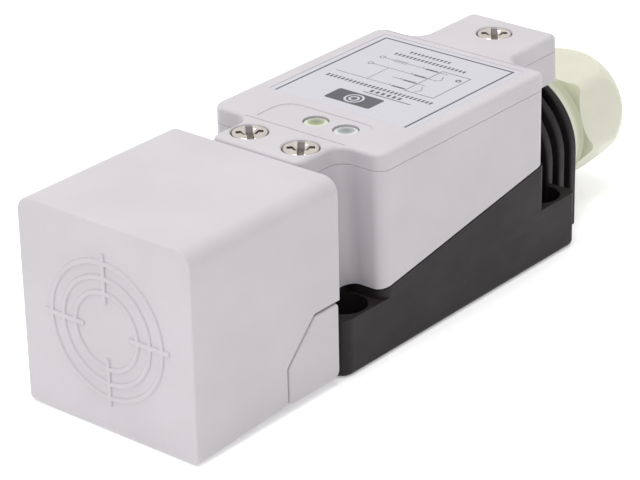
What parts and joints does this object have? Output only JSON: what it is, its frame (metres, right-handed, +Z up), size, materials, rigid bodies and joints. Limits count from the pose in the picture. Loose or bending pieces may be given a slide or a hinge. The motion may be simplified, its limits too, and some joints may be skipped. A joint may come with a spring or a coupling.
{
  "type": "proximity sensor",
  "caption": "Block-shaped inductive proximity sensor with a turning cube head, lift-off electronics cover, black terminal base and a hexagonal cable gland.",
  "frame": {"origin": "centre of the four mounting holes, on the underside", "axes": "+Z up from the mounting face, -Y towards the sensing face, +Y towards the cable gland"},
  "size_m": [0.04, 0.142, 0.04],
  "materials": {
    "grey_plastic": "fine moulded satin, pale warm grey",
    "black_plastic": "satin moulded, charcoal black",
    "pale_nylon": "semi-gloss, slightly translucent, pale yellow green",
    "seal_rubber": "matt",
    "nickel_plate": "bright nickel plate",
    "brass": "turned",
    "terminal_plastic": "moulded, dark grey green",
    "circuit_board": "green solder mask",
    "chip_plastic": "moulded epoxy, matt",
    "ferrite": "ground, dark grey",
    "copper_wire": "enamelled",
    "clear_lens": "clear, polished",
    "yellow_lens": "clear yellow, polished",
    "lead_sheath": "satin PVC"
  },
  "bodies": {
    "base": {"base_shell": "black_plastic", "base_gasket": "seal_rubber", "insert_front_left": "brass", "insert_front_right": "brass", "insert_rear": "brass", "terminal_block": "terminal_plastic", "contact_rail_1": "brass", "contact_rail_2": "brass", "contact_rail_3": "brass", "contact_rail_4": "brass", "wire_clamp_1": "nickel_plate", "wire_clamp_2": "nickel_plate", "wire_clamp_3": "nickel_plate", "wire_clamp_4": "nickel_plate", "gland_body": "pale_nylon", "gland_washer": "seal_rubber", "gland_seal": "seal_rubber", "gland_thrust_ring": "pale_nylon"},
    "cover": {"cover_shell": "grey_plastic", "cover_lid": "grey_plastic", "led_window_output": "yellow_lens", "led_window_power": "clear_lens", "led_output": "yellow_lens", "led_power": "clear_lens", "main_board": "circuit_board", "evaluation_chip": "chip_plastic", "output_switch": "chip_plastic", "surge_capacitor": "nickel_plate", "pin_header": "chip_plastic", "plug_pin_1": "brass", "plug_pin_2": "brass", "plug_pin_3": "brass", "plug_pin_4": "brass"},
    "turret": {"swivel_bracket": "grey_plastic", "swivel_seal": "seal_rubber", "retaining_ring": "nickel_plate", "coil_leads": "lead_sheath"},
    "head": {"head_housing": "grey_plastic", "head_back_plate": "grey_plastic", "clamp_insert": "brass", "ferrite_core": "ferrite", "coil_bobbin": "pale_nylon", "coil_winding": "copper_wire", "head_board": "circuit_board", "oscillator_chip": "chip_plastic"},
    "gland_cap": {"gland_nut": "pale_nylon"},
    "head_screw": {"head_clamp_screw": "nickel_plate"},
    "screw_front_left": {"cover_screw_front_left": "nickel_plate"},
    "screw_front_right": {"cover_screw_front_right": "nickel_plate"},
    "screw_rear": {"cover_screw_rear": "nickel_plate"},
    "wire_screw_1": {"terminal_screw_1": "nickel_plate"},
    "wire_screw_2": {"terminal_screw_2": "nickel_plate"},
    "wire_screw_3": {"terminal_screw_3": "nickel_plate"},
    "wire_screw_4": {"terminal_screw_4": "nickel_plate"}
  },
  "joints": [
    {"name": "cover_lift", "type": "slide", "parent": "base", "child": "cover", "axis": [0, 0, 1], "range_m": [0, 0.04]},
    {"name": "turret_turn", "type": "hinge", "parent": "cover", "child": "turret", "pos_m": [0, -0.037, 0.02], "axis": [0, 1, 0], "range_deg": [-90, 180]},
    {"name": "head_release", "type": "slide", "parent": "turret", "child": "head", "axis": [0, -0.7071, 0.7071], "range_m": [0, 0.015]},
    {"name": "head_screw_turn", "type": "hinge", "parent": "turret", "child": "head_screw", "pos_m": [0, -0.04785, 0.01255], "axis": [0, -0.7071, 0.7071], "continuous": true},
    {"name": "gland_cap_turn", "type": "hinge", "parent": "base", "child": "gland_cap", "pos_m": [0, 0.057, 0.0158], "axis": [0, 1, 0], "continuous": true},
    {"name": "screw_front_left_turn", "type": "hinge", "parent": "cover", "child": "screw_front_left", "pos_m": [-0.006, -0.0305, 0.038], "axis": [0, 0, 1], "continuous": true},
    {"name": "screw_front_right_turn", "type": "hinge", "parent": "cover", "child": "screw_front_right", "pos_m": [0.006, -0.0305, 0.038], "axis": [0, 0, 1], "continuous": true},
    {"name": "screw_rear_turn", "type": "hinge", "parent": "cover", "child": "screw_rear", "pos_m": [0, 0.0357, 0.038], "axis": [0, 0, 1], "continuous": true},
    {"name": "wire_screw_1_turn", "type": "hinge", "parent": "base", "child": "wire_screw_1", "pos_m": [-0.0105, -0.01, 0.012], "axis": [0, 0, 1], "continuous": true},
    {"name": "wire_screw_2_turn", "type": "hinge", "parent": "base", "child": "wire_screw_2", "pos_m": [-0.0035, -0.01, 0.012], "axis": [0, 0, 1], "continuous": true},
    {"name": "wire_screw_3_turn", "type": "hinge", "parent": "base", "child": "wire_screw_3", "pos_m": [0.0035, -0.01, 0.012], "axis": [0, 0, 1], "continuous": true},
    {"name": "wire_screw_4_turn", "type": "hinge", "parent": "base", "child": "wire_screw_4", "pos_m": [0.0105, -0.01, 0.012], "axis": [0, 0, 1], "continuous": true}
  ]
}
